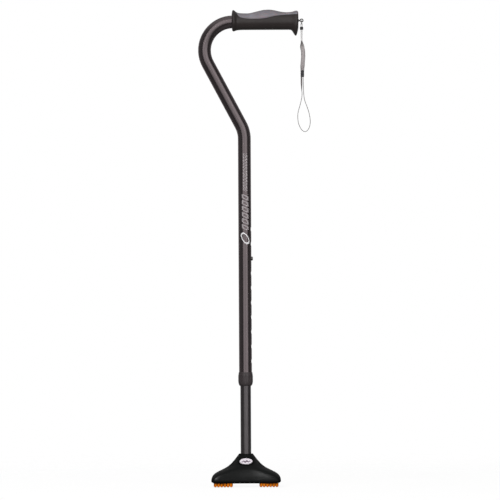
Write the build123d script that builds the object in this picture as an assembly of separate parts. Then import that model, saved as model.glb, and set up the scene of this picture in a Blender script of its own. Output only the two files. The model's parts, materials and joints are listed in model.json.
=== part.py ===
"""Offset-handle walking cane with a four-footed flexible tip.

Units are millimetres.  The origin is on the floor under the shaft, +Z is up,
+X is the way the grip points and -Y faces the viewer of the side elevation.
"""

import os
from math import cos, pi, radians, sin, tan

from build123d import *

os.makedirs("parts", exist_ok=True)

# Running and slip clearances, per side
run_gap = 0.05
slip_gap = 0.02

# Upper tube: 7/8 in aluminium, bent twice to bring the grip over the shaft
upper_r = 11.1
upper_wall = 1.2
upper_bottom_z = 194.8
grip_axis_z = 804.6
slant_deg = 28.0
low_bend_z = 614.8
low_bend_r = 52.0
high_bend_r = 49.3
upper_end_x = 84.0

# Height holes, one inch apart
hole_pitch = 25.4
hole_count = 10
hole_first_z = 216.9
hole_r = 4.1
button_index = 7
button_z = hole_first_z + button_index * hole_pitch

# Lower tube
lower_r = 9.1
lower_wall = 1.3
lower_bottom_z = 29.5
lower_top_z = 420.0
lower_bore_r = lower_r - lower_wall

# Spring clip with its snap button
clip_t = 0.7
clip_width = 7.0
clip_bend_z = 330.0
clip_bend_r = 2.0
clip_top_z = 402.0
button_r = 3.5
button_stand_out = 2.6
button_window_r = 4.6

# Lock nut, its thrust ring and the split collet
nut_r = 12.65
nut_bottom_z = 174.4
nut_top_z = 198.0
nut_bore_r = 10.7
nut_floor_z = 176.2
flute_count = 10
collet_r = 10.6
collet_step_z = 192.3
collet_nose_z = 178.0
collet_top_z = 209.0

# Grip
grip_left_x = -20.5
grip_right_x = 94.5
pad_depth = 2.3

# Wrist strap
eye_x = 100.1
eye_z = 806.3
eye_wire_r = 0.9
eye_major_r = 2.5
ring_major_r = 3.2
ring_wire_r = 0.5
cord_r = 0.6
cord_bend_r = ring_wire_r + cord_r + 0.1
band_width = 7.5
band_t = 1.1
ring_z = eye_z - ring_major_r

# Base
base_half_x = 60.2
base_half_y = 40.0
collar_r = 12.0
collar_top_z = 57.0
sole_z = 7.0
pod_x = 39.5
pod_y = 22.5
pod_length = 33.0
pod_width = 23.0
rib_count = 6
ankle_z = 20.0
ball_r = 7.0
socket_r = 10.6
badge_z = 44.3
badge_tilt = 33.0


def at(x, z):
    """A point in the plane of the side elevation."""
    return Vector(x, 0, z)


def side_face(*points):
    """Flat face in the side elevation from straight edges."""
    corners = [at(x, z) for x, z in points]
    return Face(Wire.make_polygon(corners, close=True))


def turned(profile):
    """Solid of revolution about the shaft axis from (radius, z) points."""
    return revolve(side_face(*profile), Axis.Z, 360)


def thicken_y(face, width):
    """Extrude a side-elevation face symmetrically in Y."""
    return extrude(face, amount=width / 2, dir=(0, 1, 0), both=True)


def along_x(radius, x_low, x_high, z, y=0):
    """Cylinder parallel to X."""
    start = Plane(origin=(x_low, y, z), z_dir=(1, 0, 0))
    return extrude(start * Circle(radius), amount=x_high - x_low)


def save(shape, node):
    solid = shape.solids()
    if len(solid) != 1:
        raise ValueError(f"{node} has {len(solid)} solids")
    export_step(solid[0], f"parts/{node}.step")


# ---------------------------------------------------------------- upper shaft


def shaft_wire():
    """Centreline of the bent upper tube, from its lower end to inside the grip."""
    a = radians(slant_deg)
    turn = pi / 2 + a
    low_tangent = low_bend_r * tan(a / 2)
    high_tangent = high_bend_r * tan(turn / 2)
    length = (grip_axis_z - low_bend_z) / cos(a)
    apex_x = -sin(a) * length
    start = at(0, upper_bottom_z)
    p1 = at(0, low_bend_z - low_tangent)
    c1 = at(-low_bend_r, p1.Z)
    m1 = c1 + at(cos(a / 2), sin(a / 2)) * low_bend_r
    p2 = c1 + at(cos(a), sin(a)) * low_bend_r
    p4 = at(apex_x + high_tangent, grip_axis_z)
    c2 = at(p4.X, grip_axis_z - high_bend_r)
    mid = (pi + a + pi / 2) / 2
    m2 = c2 + at(cos(mid), sin(mid)) * high_bend_r
    p3 = c2 + at(-cos(a), -sin(a)) * high_bend_r
    edges = [
        Edge.make_line(start, p1),
        Edge.make_three_point_arc(p1, m1, p2),
        Edge.make_line(p2, p3),
        Edge.make_three_point_arc(p3, m2, p4),
        Edge.make_line(p4, at(upper_end_x, grip_axis_z)),
    ]
    return Wire(edges)


def shaft_rod(radius):
    section = Plane.XY.offset(upper_bottom_z) * Circle(radius)
    return sweep(section, path=shaft_wire())


def wall_hole(radius_of_tube, z):
    """Cutter for a hole through the +X wall only."""
    return along_x(hole_r, radius_of_tube - 4, radius_of_tube + 2, z)


def upper_tube():
    tube = shaft_rod(upper_r) - shaft_rod(upper_r - upper_wall)
    for i in range(hole_count):
        tube -= wall_hole(upper_r, hole_first_z + i * hole_pitch)
    return tube


def shaft_end_plug():
    """Moulded plug closing the tube inside the grip and holding the eye screw."""
    stem_r = upper_r - upper_wall - slip_gap
    plug = along_x(stem_r, 70, upper_end_x, grip_axis_z)
    plug += along_x(upper_r, upper_end_x, upper_end_x + 2, grip_axis_z)
    return plug - along_x(1.2, 69, upper_end_x + 3, eye_z)


# ----------------------------------------------------------------------- grip


def ellipse_at(x, z_low, z_high, half_width):
    """Elliptical section of the grip in the plane X = x."""
    middle = Plane(origin=(x, 0, (z_low + z_high) / 2), x_dir=(0, 1, 0), z_dir=(1, 0, 0))
    return middle * Ellipse(half_width, (z_high - z_low) / 2)


def grip_solid(inset=0.0):
    """Palm-swell handle between two end flanges, the right one with a finger spur."""
    palm = [
        (-18, 790.2, 820.0, 14.4),
        (-6, 790.8, 819.6, 14.3),
        (7, 791.3, 819.0, 14.2),
        (24, 791.3, 822.3, 15.2),
        (43.5, 791.3, 825.1, 16.0),
        (59, 791.3, 822.5, 15.4),
        (73, 791.2, 820.8, 14.6),
        (88, 791.0, 821.2, 14.6),
    ]
    left = [
        (grip_left_x, 793.0, 820.0, 13.6),
        (-19.3, 789.4, 823.6, 17.2),
        (-17.6, 788.0, 825.0, 18.4),
        (-15.6, 788.4, 824.2, 17.9),
        (-12.5, 789.6, 821.3, 15.6),
        (-9, 791.0, 819.6, 13.6),
    ]
    right = [
        (79, 792.0, 820.2, 13.6),
        (83.5, 789.4, 821.6, 15.0),
        (87.5, 783.4, 823.0, 16.6),
        (90.3, 781.4, 823.5, 17.0),
        (92.6, 784.6, 823.2, 16.6),
        (grip_right_x, 791.0, 820.4, 13.8),
    ]
    solid = None
    for profile in (palm, left, right):
        faces = [
            ellipse_at(x, low + inset, high - inset, half - inset)
            for x, low, high, half in profile
        ]
        piece = loft(faces)
        solid = piece if solid is None else solid + piece
    return solid


def pad_region():
    """Everything above the wavy seam between the gel pad and the grip body."""
    seam = Spline(
        at(-13.2, 821.0),
        at(-5.6, 812.8),
        at(4.2, 810.6),
        at(21.8, 809.7),
        at(39.4, 811.3),
        at(57.0, 815.6),
        at(74.8, 817.7),
        at(96.0, 818.6),
    )
    first = at(-13.2, 830)
    last = at(96.0, 830)
    sides = [
        Edge.make_line(at(96.0, 818.6), last),
        Edge.make_line(last, first),
        Edge.make_line(first, at(-13.2, 821.0)),
    ]
    return thicken_y(Face(Wire([seam.edge()] + sides)), 60)


def gel_pad(outer):
    return (outer & pad_region()) - grip_solid(pad_depth)


def grip_body(outer, pad):
    body = outer - pad
    body -= shaft_rod(upper_r)
    body -= along_x(upper_r, upper_end_x, upper_end_x + 2, grip_axis_z)
    return body - along_x(1.2, upper_end_x, grip_right_x + 3, eye_z)


# ------------------------------------------------------------- wrist strap


def torus_at(x, z, major, minor, axis):
    return Plane(origin=(x, 0, z), z_dir=axis) * Torus(major, minor)


def strap_eye_screw():
    """Screw eye driven through the grip end into the plug, hole across the cane."""
    screw = along_x(1.2, 74, eye_x - eye_major_r, eye_z)
    screw += along_x(2.3, grip_right_x, grip_right_x + 1.1, eye_z)
    return screw + torus_at(eye_x, eye_z, eye_major_r, eye_wire_r, (0, 1, 0))


def strap_ring():
    """Small split ring hanging through the eye."""
    return torus_at(eye_x, ring_z, ring_major_r, ring_wire_r, (1, 0, 0))


def strap_cord():
    """Cord looped over the ring, both strands running down into the webbing."""
    top_z = ring_z - ring_major_r
    bend = cord_bend_r
    arc = Edge.make_three_point_arc(
        at(eye_x - bend, top_z), at(eye_x, top_z + bend), at(eye_x + bend, top_z)
    )
    left = Edge.make_line(at(eye_x - bend, 768), at(eye_x - bend, top_z))
    right = Edge.make_line(at(eye_x + bend, top_z), at(eye_x + bend, 768))
    section = Plane.XY.offset(768) * Pos(eye_x - bend, 0) * Circle(cord_r)
    return sweep(section, path=Wire([left, arc, right]))


def cord_holes(shape):
    """Clear the two cord strands out of a shape they run through."""
    for side in (-1, 1):
        shape -= Pos(eye_x + side * cord_bend_r, 0, 783) * Cylinder(cord_r, 30)
    return shape


def strap_bead():
    """Barrel bead pinching the two strands together."""
    bead = Pos(eye_x, 0, 792.8) * Cylinder(2.7, 5.2)
    bead = fillet(bead.edges().filter_by(GeomType.CIRCLE), 1.5)
    return bead - Pos(eye_x, 0, 792.8) * Cylinder(cord_bend_r + cord_r, 8)


def webbing_head():
    """Doubled webbing above the keeper, seen flat in the side elevation."""
    left = Spline(at(98.0, 771.5), at(98.3, 745), at(97.6, 720.2))
    right = Spline(at(104.4, 720.2), at(106.2, 745), at(102.2, 771.5))
    ends = [
        Edge.make_line(at(97.6, 720.2), at(104.4, 720.2)),
        Edge.make_line(at(102.2, 771.5), at(98.0, 771.5)),
    ]
    outline = Wire([left.edge(), ends[0], right.edge(), ends[1]])
    return thicken_y(Face(outline), 2 * band_t)


def webbing_loop():
    """Hand loop: one band standing on edge, opening into a teardrop."""
    side = [
        (99.7, 722), (99.5, 700), (100.4, 676), (92.9, 648), (105.2, 613.8),
        (114.2, 635), (103.4, 676), (102.7, 700), (102.5, 722),
    ]
    centre = Spline(*[at(x, z) for x, z in side])
    section = Plane(origin=centre @ 0, x_dir=(0, 1, 0), z_dir=centre % 0)
    return sweep(section * Rectangle(band_width, band_t), path=Wire([centre.edge()]))


def strap_band():
    return cord_holes(webbing_head() + webbing_loop())


def strap_slider():
    """Moulded keeper that slides down the band to close the loop."""
    keeper = Pos(101.0, 0, 714.3) * Box(7.0, 10.0, 11.4)
    keeper = fillet(keeper.edges().filter_by(Axis.Z), 1.2)
    return keeper - Pos(101.0, 0, 714.3) * Box(5.6, 8.0, 20)


# ---------------------------------------------------------- height adjustment


def lower_tube():
    height = lower_top_z - lower_bottom_z
    tube = Pos(0, 0, lower_bottom_z + height / 2) * Cylinder(lower_r, height)
    tube -= Pos(0, 0, lower_bottom_z + height / 2) * Cylinder(lower_bore_r, height)
    return tube - along_x(button_window_r, lower_r - 4, lower_r + 2, button_z)


def lower_tube_guide():
    """Nylon cap that centres the lower tube in the upper one."""
    plug_r = lower_bore_r - slip_gap
    wide_r = upper_r - upper_wall - 0.08
    profile = [
        (4.5, lower_top_z - 9),
        (plug_r, lower_top_z - 9),
        (plug_r, lower_top_z),
        (wide_r, lower_top_z),
        (wide_r, lower_top_z + 4.5),
        (wide_r - 1.0, lower_top_z + 5.5),
        (4.5, lower_top_z + 5.5),
    ]
    return turned(profile)


def clip_leg(side):
    """One leg of the clip: slanting off the bend, then flat on the tube wall."""
    near = clip_bend_r
    far = lower_bore_r - clip_t / 2
    knee_z = clip_bend_z + 28
    h = clip_t / 2
    points = [
        (side * (near - h), clip_bend_z),
        (side * (near + h), clip_bend_z),
        (side * (far + h), knee_z),
        (side * (far + h), clip_top_z),
        (side * (far - h), clip_top_z),
        (side * (far - h), knee_z),
    ]
    return thicken_y(side_face(*points), clip_width)


def curved_to_bore(shape):
    """Trim a strip to the round bore of the lower tube."""
    bore = Pos(0, 0, 365) * Cylinder(lower_bore_r - 0.01, 100)
    return shape & bore


def button_spring():
    """Rear leg of the clip with its bend."""
    along_y = Plane(origin=(0, 0, clip_bend_z), x_dir=(1, 0, 0), z_dir=(0, -1, 0))
    ring = Circle(clip_bend_r + clip_t / 2) - Circle(clip_bend_r - clip_t / 2)
    bend = extrude(along_y * ring, amount=clip_width / 2, both=True)
    bend &= Pos(0, 0, clip_bend_z - 5) * Box(20, 20, 10)
    return curved_to_bore(clip_leg(-1)) + bend


def button_leaf():
    return curved_to_bore(clip_leg(1))


def button_cap(leaf):
    """Domed steel button riveted to the leaf."""
    tip = upper_r + button_stand_out
    button = along_x(button_r, lower_bore_r - 1.2, tip, button_z)
    button = fillet(button.edges().sort_by(Axis.X)[-1], 1.6)
    return button - leaf


def lock_collet():
    """Split nylon bush pressed in the tube end; its fingers grip the lower tube."""
    bore = lower_r + run_gap
    sleeve_r = upper_r - upper_wall - slip_gap
    profile = [
        (bore, collet_nose_z),
        (9.75, collet_nose_z),
        (collet_r, collet_nose_z + 3),
        (collet_r, collet_step_z),
        (upper_r, collet_step_z),
        (upper_r, upper_bottom_z),
        (sleeve_r, upper_bottom_z),
        (sleeve_r, collet_top_z),
        (bore, collet_top_z),
    ]
    collet = turned(profile)
    for i in range(4):
        slot = Pos(10, 0, collet_nose_z + 5) * Box(6, 1.4, 13)
        collet -= Rot(0, 0, 45 + 90 * i) * slot
    return collet


def lock_ring():
    """Thrust ring the nut drives up against the collet nose."""
    profile = [
        (lower_r + 0.1, nut_floor_z),
        (nut_bore_r - 0.08, nut_floor_z),
        (nut_bore_r - 0.08, collet_nose_z + 2.2),
        (10.43, collet_nose_z + 2.2),
        (9.83, collet_nose_z - run_gap),
        (lower_r + 0.1, collet_nose_z - run_gap),
    ]
    return turned(profile)


def lock_nut():
    """Fluted lock nut: bell mouth over the tube end, tapering to the lower tube."""
    profile = [
        (lower_r + 0.2, nut_bottom_z),
        (10.3, nut_bottom_z),
        (11.9, nut_bottom_z + 3.2),
        (nut_r, nut_bottom_z + 7.6),
        (nut_r, 191.5),
        (12.2, 194.6),
        (11.7, nut_top_z),
        (upper_r + 0.1, nut_top_z),
        (upper_r + 0.1, collet_step_z - 0.1),
        (nut_bore_r, collet_step_z - 0.1),
        (nut_bore_r, nut_floor_z),
        (lower_r + 0.2, nut_floor_z),
    ]
    nut = turned(profile)
    for i in range(flute_count):
        flute = Pos(nut_r + 1.6, 0, 186.0) * Cylinder(2.2, 8.5)
        nut -= Rot(0, 0, 18 + 360 / flute_count * i) * flute
    return nut


# ----------------------------------------------------------------------- base


def bell_section(z, half_x, half_y, lobes):
    """Closed plan curve: round at the neck, drawn out into four feet below."""
    count = 40
    power = 1 - 0.5 * lobes
    raw = []
    for i in range(count):
        t = 2 * pi * i / count
        waist = 1 - lobes * (0.12 * cos(2 * t) ** 2 + 0.12 * min(0, cos(2 * t)) ** 2)
        x = abs(cos(t)) ** power * (1 if cos(t) > 0 else -1) * waist
        y = abs(sin(t)) ** power * (1 if sin(t) > 0 else -1) * waist
        raw.append((x, y))
    wide = max(x for x, y in raw)
    deep = max(y for x, y in raw)
    points = [Vector(x * half_x / wide, y * half_y / deep, z) for x, y in raw]
    return Face(Wire([Spline(*points, periodic=True).edge()]))


def bell():
    """Outside of the rubber base, from the sole to the collar."""
    levels = [
        (sole_z, 56.5, 37.0, 1.0),
        (9.5, 60.0, 39.8, 1.0),
        (14.0, base_half_x - 0.4, base_half_y - 0.2, 1.0),
        (20.0, 56.0, 37.6, 0.95),
        (26.0, 47.4, 33.2, 0.8),
        (31.5, 37.2, 28.0, 0.55),
        (37.0, 29.0, 23.6, 0.3),
        (44.0, 22.1, 19.6, 0.1),
        (51.0, 16.4, 15.6, 0.0),
        (collar_top_z, collar_r, collar_r, 0.0),
    ]
    return loft([bell_section(*level) for level in levels])


def badge_plane(lift=0.0):
    """Plane of the badge on the front slope of the neck, normal outwards."""
    t = radians(badge_tilt)
    out = Vector(0, -cos(t), sin(t))
    origin = Vector(0, -19.9, badge_z) + out * lift
    return Plane(origin=origin, x_dir=(1, 0, 0), z_dir=out)


def badge_boss():
    return extrude(badge_plane(-5.5) * Ellipse(13.2, 8.4), amount=5.9)


def badge_recess():
    return extrude(badge_plane(-0.6) * Ellipse(11.5, 6.75), amount=5)


def base_badge():
    return extrude(badge_plane(-0.6) * Ellipse(11.5, 6.75), amount=1.6)


def foot_pod(sx, sy):
    """Cushion pod: a rounded pad with cross ribs that stand on the floor."""
    cx = sx * pod_x
    cy = sy * pod_y
    blank = Pos(cx, cy, 5.5) * Box(pod_length, pod_width, 11)
    blank = fillet(blank.edges().filter_by(Axis.Z), 6.0)
    pitch = pod_length / rib_count
    for i in range(rib_count + 1):
        groove_x = cx - pod_length / 2 + i * pitch
        along = Plane(origin=(groove_x, cy - pod_width, 0), z_dir=(0, 1, 0))
        blank -= extrude(along * Circle(1.7), amount=2 * pod_width)
    return blank


def core_arm(sx, sy):
    """One arm of the stiffening spider, running out over a foot."""
    reach = Vector(sx * 46, sy * 27, 0)
    angle = reach.get_angle(Vector(1, 0, 0)) * sy
    arm = Pos(reach.length / 2, 0, 14.0) * Box(reach.length, 13, 4)
    return Rot(0, 0, angle) * arm


def base_core():
    """Moulded spider in the rubber with the lower seat of the ankle ball."""
    core = turned([(0, 11.0), (13.5, 11.0), (13.5, 16.5), (10.5, 18.0), (0, 18.0)])
    for sx in (-1, 1):
        for sy in (-1, 1):
            core += core_arm(sx, sy)
    return core - Pos(0, 0, ankle_z) * Sphere(ball_r)


def base_shell(core):
    """Rubber bell: neck around the socket, hollow under the neck, four feet."""
    shell = bell() + badge_boss() - badge_recess()
    hollow = [
        (0, 0),
        (21, 0),
        (21, sole_z),
        (19.5, 12),
        (18.5, 22),
        (14.0, 34),
        (socket_r, 40),
        (socket_r, 60),
        (0, 60),
    ]
    shell -= turned(hollow)
    shell -= core
    for sx in (-1, 1):
        for sy in (-1, 1):
            shell -= foot_pod(sx, sy)
            recess = Pos(sx * pod_x, sy * pod_y, 5.5) * Box(pod_length, pod_width, 11)
            shell -= fillet(recess.edges().filter_by(Axis.Z), 6.0)
    return shell


def ankle_ball():
    return Pos(0, 0, ankle_z) * Sphere(ball_r)


def ankle_socket():
    """Cup holding the end of the lower tube, standing on the ankle ball."""
    cup = turned(
        [
            (0, 24.5),
            (socket_r - 1, 24.5),
            (socket_r, 25.5),
            (socket_r, 55.0),
            (lower_r, 55.0),
            (lower_r, 28.0),
            (0, 28.0),
        ]
    )
    return cup - Pos(0, 0, ankle_z) * Sphere(ball_r)


def tube_washer():
    """Steel washer that keeps the tube end from cutting through the socket."""
    return turned([(3, 28.0), (lower_r, 28.0), (lower_r, lower_bottom_z), (3, lower_bottom_z)])


# ---------------------------------------------------------------------- write

save(upper_tube(), "upper_tube")
save(shaft_end_plug(), "shaft_end_plug")

handle = grip_solid()
pad = gel_pad(handle)
save(pad, "grip_gel_pad")
save(grip_body(handle, pad), "grip_body")

save(strap_eye_screw(), "strap_eye_screw")
save(strap_ring(), "strap_ring")
save(strap_cord(), "strap_cord")
save(strap_bead(), "strap_bead")
save(strap_band(), "strap_band")
save(strap_slider(), "strap_slider")

save(lower_tube(), "lower_tube")
save(lower_tube_guide(), "lower_tube_guide")
leaf = button_leaf()
save(button_spring(), "button_spring")
save(leaf, "button_leaf")
save(button_cap(leaf), "button_cap")
save(lock_collet(), "lock_collet")
save(lock_ring(), "lock_ring")
save(lock_nut(), "lock_nut")

core = base_core()
save(core, "base_core")
save(base_shell(core), "base_shell")
save(base_badge(), "base_badge")
save(foot_pod(1, 1), "foot_pod_back_right")
save(foot_pod(1, -1), "foot_pod_front_right")
save(foot_pod(-1, 1), "foot_pod_back_left")
save(foot_pod(-1, -1), "foot_pod_front_left")
save(ankle_ball(), "ankle_ball")
save(ankle_socket(), "ankle_socket")
save(tube_washer(), "tube_washer")
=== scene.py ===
import json
import math

import bmesh
import bpy
import numpy as np
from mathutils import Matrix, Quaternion, Vector


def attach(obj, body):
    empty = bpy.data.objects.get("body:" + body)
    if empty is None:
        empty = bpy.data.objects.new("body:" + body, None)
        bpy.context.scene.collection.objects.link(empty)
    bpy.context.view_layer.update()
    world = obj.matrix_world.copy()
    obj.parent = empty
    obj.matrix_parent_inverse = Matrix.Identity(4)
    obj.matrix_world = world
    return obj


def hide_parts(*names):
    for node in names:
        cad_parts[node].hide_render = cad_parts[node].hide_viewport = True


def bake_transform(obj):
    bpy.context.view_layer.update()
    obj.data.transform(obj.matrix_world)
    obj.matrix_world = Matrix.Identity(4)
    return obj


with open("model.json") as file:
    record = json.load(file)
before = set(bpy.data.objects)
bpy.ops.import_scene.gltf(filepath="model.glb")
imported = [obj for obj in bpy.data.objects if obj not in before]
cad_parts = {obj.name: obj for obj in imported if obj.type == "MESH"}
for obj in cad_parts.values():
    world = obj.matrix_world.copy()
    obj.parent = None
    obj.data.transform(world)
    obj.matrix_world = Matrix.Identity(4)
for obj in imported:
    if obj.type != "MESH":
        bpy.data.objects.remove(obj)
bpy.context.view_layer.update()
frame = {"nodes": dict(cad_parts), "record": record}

MM = 0.001
WELD = 1e-6
NODES = frame["nodes"]


# ---------------------------------------------------------------- small maths


def smooth_curve(points):
    """Monotone cubic through (x, y) points: no overshoot between them."""
    xs = np.array([p[0] for p in points], float)
    ys = np.array([p[1] for p in points], float)
    order = np.argsort(xs)
    xs, ys = xs[order], ys[order]
    h = np.diff(xs)
    d = np.diff(ys) / h
    m = np.zeros(len(xs))
    for i in range(1, len(xs) - 1):
        if d[i - 1] * d[i] > 0:
            w1 = 2 * h[i] + h[i - 1]
            w2 = h[i] + 2 * h[i - 1]
            m[i] = (w1 + w2) / (w1 / d[i - 1] + w2 / d[i])
    m[0], m[-1] = d[0], d[-1]

    def value(x):
        x = np.clip(np.asarray(x, float), xs[0], xs[-1])
        i = np.clip(np.searchsorted(xs, x) - 1, 0, len(h) - 1)
        t = (x - xs[i]) / h[i]
        a = (1 + 2 * t) * (1 - t) ** 2 * ys[i] + t * (1 - t) ** 2 * h[i] * m[i]
        return a + t * t * (3 - 2 * t) * ys[i + 1] + t * t * (t - 1) * h[i] * m[i + 1]

    return value


def smoothstep(x, low, high):
    """0 below low, 1 above high, eased between."""
    t = np.clip((np.asarray(x, float) - low) / (high - low), 0, 1)
    return t * t * (3 - 2 * t)


def catmull(points, steps):
    """Points along a Catmull-Rom curve through the given points."""
    p = [np.array(q, float) for q in points]
    p = [2 * p[0] - p[1]] + p + [2 * p[-1] - p[-2]]
    out = []
    for i in range(1, len(p) - 2):
        for k in range(steps):
            t = k / steps
            a, b, c, d = p[i - 1], p[i], p[i + 1], p[i + 2]
            out.append(
                0.5 * (2 * b + (c - a) * t + (2 * a - 5 * b + 4 * c - d) * t ** 2
                       + (3 * b - a - 3 * c + d) * t ** 3)
            )
    out.append(p[-2])
    return np.array(out)


# -------------------------------------------------------------- mesh building


def make_object(name, verts, faces, mat, sharp=35.0, uvs=None):
    """Mesh object from millimetre points, smooth shaded with sharp edges by angle."""
    mesh = bpy.data.meshes.new(name)
    mesh.from_pydata([tuple(v * MM for v in p) for p in verts], [], faces)
    if uvs is not None:
        layer = mesh.uv_layers.new(name="UVMap")
        for loop in mesh.loops:
            layer.data[loop.index].uv = uvs[loop.vertex_index]
    obj = bpy.data.objects.new(name, mesh)
    bpy.context.scene.collection.objects.link(obj)
    clean(obj)
    shade(obj, sharp)
    obj.data.materials.append(mat)
    return obj


def clean(obj):
    """Weld what coincides and turn every face outward."""
    bm = bmesh.new()
    bm.from_mesh(obj.data)
    bmesh.ops.remove_doubles(bm, verts=bm.verts, dist=WELD)
    bmesh.ops.dissolve_degenerate(bm, edges=bm.edges, dist=WELD)
    bmesh.ops.recalc_face_normals(bm, faces=bm.faces)
    bm.to_mesh(obj.data)
    bm.free()


def shade(obj, sharp):
    """Smooth shading that breaks at edges steeper than the given angle, degrees."""
    for poly in obj.data.polygons:
        poly.use_smooth = True
    obj.data.set_sharp_from_angle(angle=math.radians(sharp))


def crease_at(obj, height):
    """Keep the shading of a wall apart from the flat cut at this height."""
    mesh = obj.data
    flags = mesh.attributes.get("sharp_edge")
    if flags is None:
        flags = mesh.attributes.new("sharp_edge", "BOOLEAN", "EDGE")
    for edge in mesh.edges:
        if all(abs(mesh.vertices[v].co.z - height * MM) < 1e-7 for v in edge.vertices):
            flags.data[edge.index].value = True


def quads(rows, n, last_to_first=False, ring=True):
    """Quads between rows of n points; each row is a ring or, if not, an open line."""
    faces = []
    for i in range(rows if last_to_first else rows - 1):
        j = (i + 1) % rows
        for k in range(n if ring else n - 1):
            l = (k + 1) % n
            faces.append((i * n + k, i * n + l, j * n + l, j * n + k))
    return faces


def joined(rings):
    """All points of the rings in one list."""
    return [p for ring in rings for p in ring]


def loop_of_rings(name, rings, mat, closed=True, sharp=35.0):
    """Skin between rings of equal point count; closed joins the last ring to the first."""
    faces = quads(len(rings), len(rings[0]), closed)
    return make_object(name, joined(rings), faces, mat, sharp)


def capped_rings(name, rings, mat, sharp=35.0):
    """Skin between rings, ends closed with a fan."""
    n = len(rings[0])
    verts = joined(rings)
    faces = quads(len(rings), n)
    for i, ring in ((0, rings[0]), (len(rings) - 1, rings[-1])):
        centre = len(verts)
        verts.append(tuple(np.mean(np.array(ring), axis=0)))
        for k in range(n):
            faces.append((i * n + k, i * n + (k + 1) % n, centre))
    return make_object(name, verts, faces, mat, sharp)


def circle(radius, z, count):
    """Level ring of points about the shaft axis."""
    t = np.linspace(0, 2 * math.pi, count, endpoint=False)
    return [(radius * math.cos(a), radius * math.sin(a), z) for a in t]


# ------------------------------------------------------------------ materials


class Tree:
    """Small helper round a node tree."""

    def __init__(self, tree):
        self.tree = tree

    def node(self, kind, **props):
        made = self.tree.nodes.new(kind)
        for key, value in props.items():
            setattr(made, key, value)
        return made

    def link(self, a, b):
        self.tree.links.new(a, b)

    def put(self, socket, value):
        if hasattr(value, "is_output"):
            self.link(value, socket)
        else:
            socket.default_value = value

    def math(self, operation, a, b=0.0, clamp=False):
        made = self.node("ShaderNodeMath", operation=operation, use_clamp=clamp)
        self.put(made.inputs[0], a)
        self.put(made.inputs[1], b)
        return made.outputs[0]

    def remap(self, value, low, high, out_low=0.0, out_high=1.0):
        made = self.node("ShaderNodeMapRange", clamp=True, interpolation_type="SMOOTHSTEP")
        for key, item in (("From Min", low), ("From Max", high),
                          ("To Min", out_low), ("To Max", out_high)):
            made.inputs[key].default_value = item
        self.put(made.inputs["Value"], value)
        return made.outputs["Result"]


class Shader(Tree):
    """A new material's tree with one Principled BSDF."""

    def __init__(self, name):
        self.mat = bpy.data.materials.new(name)
        self.mat.use_nodes = True
        super().__init__(self.mat.node_tree)
        self.bsdf = self.tree.nodes["Principled BSDF"]
        self.coord = self.node("ShaderNodeTexCoord")

    def set(self, **values):
        for key, value in values.items():
            self.put(self.bsdf.inputs[key.replace("_", " ")], value)

    def mapped(self, scale):
        mapping = self.node("ShaderNodeMapping")
        mapping.inputs["Scale"].default_value = scale
        self.link(self.coord.outputs["Object"], mapping.inputs["Vector"])
        return mapping.outputs["Vector"]

    def noise(self, scale, detail, rough, stretch=(1, 1, 1)):
        made = self.node("ShaderNodeTexNoise")
        self.link(self.mapped(stretch), made.inputs["Vector"])
        made.inputs["Scale"].default_value = scale
        made.inputs["Detail"].default_value = detail
        made.inputs["Roughness"].default_value = rough
        return made.outputs["Fac"]

    def mix(self, factor, a, b):
        made = self.node("ShaderNodeMix", data_type="RGBA")
        self.put(made.inputs[0], factor)
        for socket, colour in ((made.inputs[6], a), (made.inputs[7], b)):
            self.put(socket, colour if hasattr(colour, "is_output") else (*colour, 1))
        return made.outputs[2]

    def axis(self, name, source="Object"):
        made = self.node("ShaderNodeSeparateXYZ")
        self.link(self.coord.outputs[source], made.inputs[0])
        return made.outputs[name]

    def bump(self, height, distance, strength):
        made = self.node("ShaderNodeBump")
        made.inputs["Strength"].default_value = strength
        made.inputs["Distance"].default_value = distance
        self.link(height, made.inputs["Height"])
        self.link(made.outputs["Normal"], self.bsdf.inputs["Normal"])

    def edge(self, radius):
        """0 on flats, 1 near convex edges."""
        bevel = self.node("ShaderNodeBevel", samples=4)
        bevel.inputs["Radius"].default_value = radius
        geo = self.node("ShaderNodeNewGeometry")
        dot = self.node("ShaderNodeVectorMath", operation="DOT_PRODUCT")
        self.link(bevel.outputs["Normal"], dot.inputs[0])
        self.link(geo.outputs["Normal"], dot.inputs[1])
        return self.remap(dot.outputs["Value"], 0.995, 0.80)


def scaled(colour, k):
    """The colour made lighter or darker."""
    return tuple(c * k for c in colour)


BARE_ALUMINIUM = (0.42, 0.40, 0.40)
PRINT_GREY = (0.44, 0.41, 0.42)
PRINT_WHITE = (0.86, 0.86, 0.87)

# Printed bars: bottom, top, pitch, half width and middle X, metres
PRINT_BARS = (
    (0.4440, 0.5064, 0.0104, 0.0058, 0.0008),
    (0.5112, 0.5772, 0.0055, 0.0036, 0.0010),
)
PRINT_LEAN = 0.45
RING_MIDDLE = (0.0006, 0.4300)
RING_HALF = (0.0064, 0.0104)
RING_LEAN = 0.40


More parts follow.
